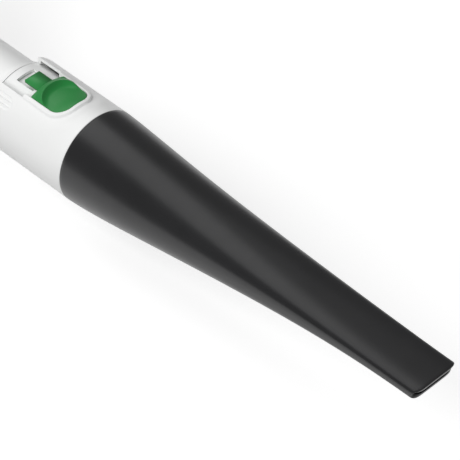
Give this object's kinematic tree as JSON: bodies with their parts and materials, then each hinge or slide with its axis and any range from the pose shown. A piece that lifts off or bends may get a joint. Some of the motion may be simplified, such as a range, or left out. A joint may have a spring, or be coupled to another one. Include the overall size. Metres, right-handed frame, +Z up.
{
  "type": "leaf blower",
  "caption": "Cordless leaf blower: barrel fan case with a loop handle, rear battery pack, white outlet collar with a green release button and a long flat black nozzle.",
  "frame": {"origin": "on the floor, under the middle of the front rubber foot and under the air line", "axes": "+X along the air line towards the nozzle's mouth, +Y to the left, +Z up"},
  "size_m": [0.7623, 0.1162, 0.2185],
  "materials": {
    "black_shell": "satin black moulded plastic",
    "white_shell": "satin white moulded plastic",
    "green_button": "satin green moulded plastic",
    "black_plastic": "fine textured black plastic",
    "soft_grip": "soft ribbed grip rubber",
    "seal_rubber": "matt black rubber",
    "spring_steel": "bright spring steel",
    "screw_steel": "zinc plated steel",
    "motor_steel": "brushed steel can",
    "winding_copper": "enamelled copper",
    "fan_plastic": "glass filled black plastic",
    "board_green": "coated circuit board",
    "lead_red": "cable sleeve",
    "lead_black": "cable sleeve",
    "contact_brass": "plated contacts",
    "cell_wrap": "shrink wrapped steel cells, with the density of aluminium",
    "window_clear": "frosted clear window"
  },
  "bodies": {
    "blower": {"outlet_tube": "white_shell", "tube_seal": "seal_rubber", "clamp_ring": "black_plastic", "fan_case_left": "white_shell", "fan_case_right": "white_shell", "case_screws": "screw_steel", "intake_grille": "black_plastic", "stator_duct": "fan_plastic", "motor_can": "motor_steel", "motor_windings": "winding_copper", "bearing_front": "spring_steel", "bearing_rear": "spring_steel", "motor_cone": "fan_plastic", "handle_left": "white_shell", "handle_right": "white_shell", "handle_screws": "screw_steel", "grip_pad": "soft_grip", "trigger_pin": "spring_steel", "trigger_spring": "spring_steel", "trigger_switch": "black_plastic", "boost_spring": "spring_steel", "control_board": "board_green", "motor_leads": "lead_red", "battery_leads": "lead_black", "battery_dock": "black_plastic", "dock_terminals": "contact_brass", "base_front": "black_plastic", "base_rear": "black_plastic", "foot_pads": "seal_rubber"},
    "nozzle": {"nozzle_shell": "black_shell", "nozzle_collar": "white_shell", "nozzle_sleeve": "white_shell", "release_pin": "spring_steel", "release_spring": "spring_steel"},
    "release_lever": {"release_button": "green_button"},
    "rotor": {"fan_impeller": "fan_plastic", "motor_rotor": "motor_steel", "motor_shaft": "spring_steel"},
    "trigger_lever": {"trigger": "green_button"},
    "boost_key": {"boost_button": "green_button"},
    "battery": {"battery_case": "black_plastic", "battery_cover": "black_plastic", "battery_cells": "cell_wrap", "latch_spring": "spring_steel", "charge_window": "window_clear"},
    "battery_key": {"battery_latch": "green_button"}
  },
  "joints": [
    {"name": "nozzle_pull", "type": "slide", "parent": "blower", "child": "nozzle", "axis": [1, 0, 0], "range_m": [0, 0.07]},
    {"name": "release_press", "type": "hinge", "parent": "nozzle", "child": "release_lever", "pos_m": [0.152, 0, 0.10795], "axis": [0, 1, 0], "range_deg": [0, 4], "stiffness_Nm_per_rad": 0.6, "springref_deg": -2.86, "deforming": ["release_spring"]},
    {"name": "fan_spin", "type": "hinge", "parent": "blower", "child": "rotor", "pos_m": [-0.097, 0, 0.074], "axis": [1, 0, 0], "continuous": true},
    {"name": "trigger_pull", "type": "hinge", "parent": "blower", "child": "trigger_lever", "pos_m": [-0.031, 0, 0.1895], "axis": [0, 1, 0], "range_deg": [0, 10], "stiffness_Nm_per_rad": 0.5, "springref_deg": -4.58, "deforming": ["trigger_spring"]},
    {"name": "boost_press", "type": "slide", "parent": "blower", "child": "boost_key", "axis": [0, 0, -1], "range_m": [0, 0.0025], "stiffness_N_per_m": 700, "springref_m": -0.001, "deforming": ["boost_spring"]},
    {"name": "battery_lift", "type": "slide", "parent": "blower", "child": "battery", "axis": [0, 0, 1], "range_m": [0, 0.08]},
    {"name": "latch_press", "type": "slide", "parent": "battery", "child": "battery_key", "axis": [0, 0, -1], "range_m": [0, 0.0025], "stiffness_N_per_m": 700, "springref_m": -0.001, "deforming": ["latch_spring"]}
  ]
}
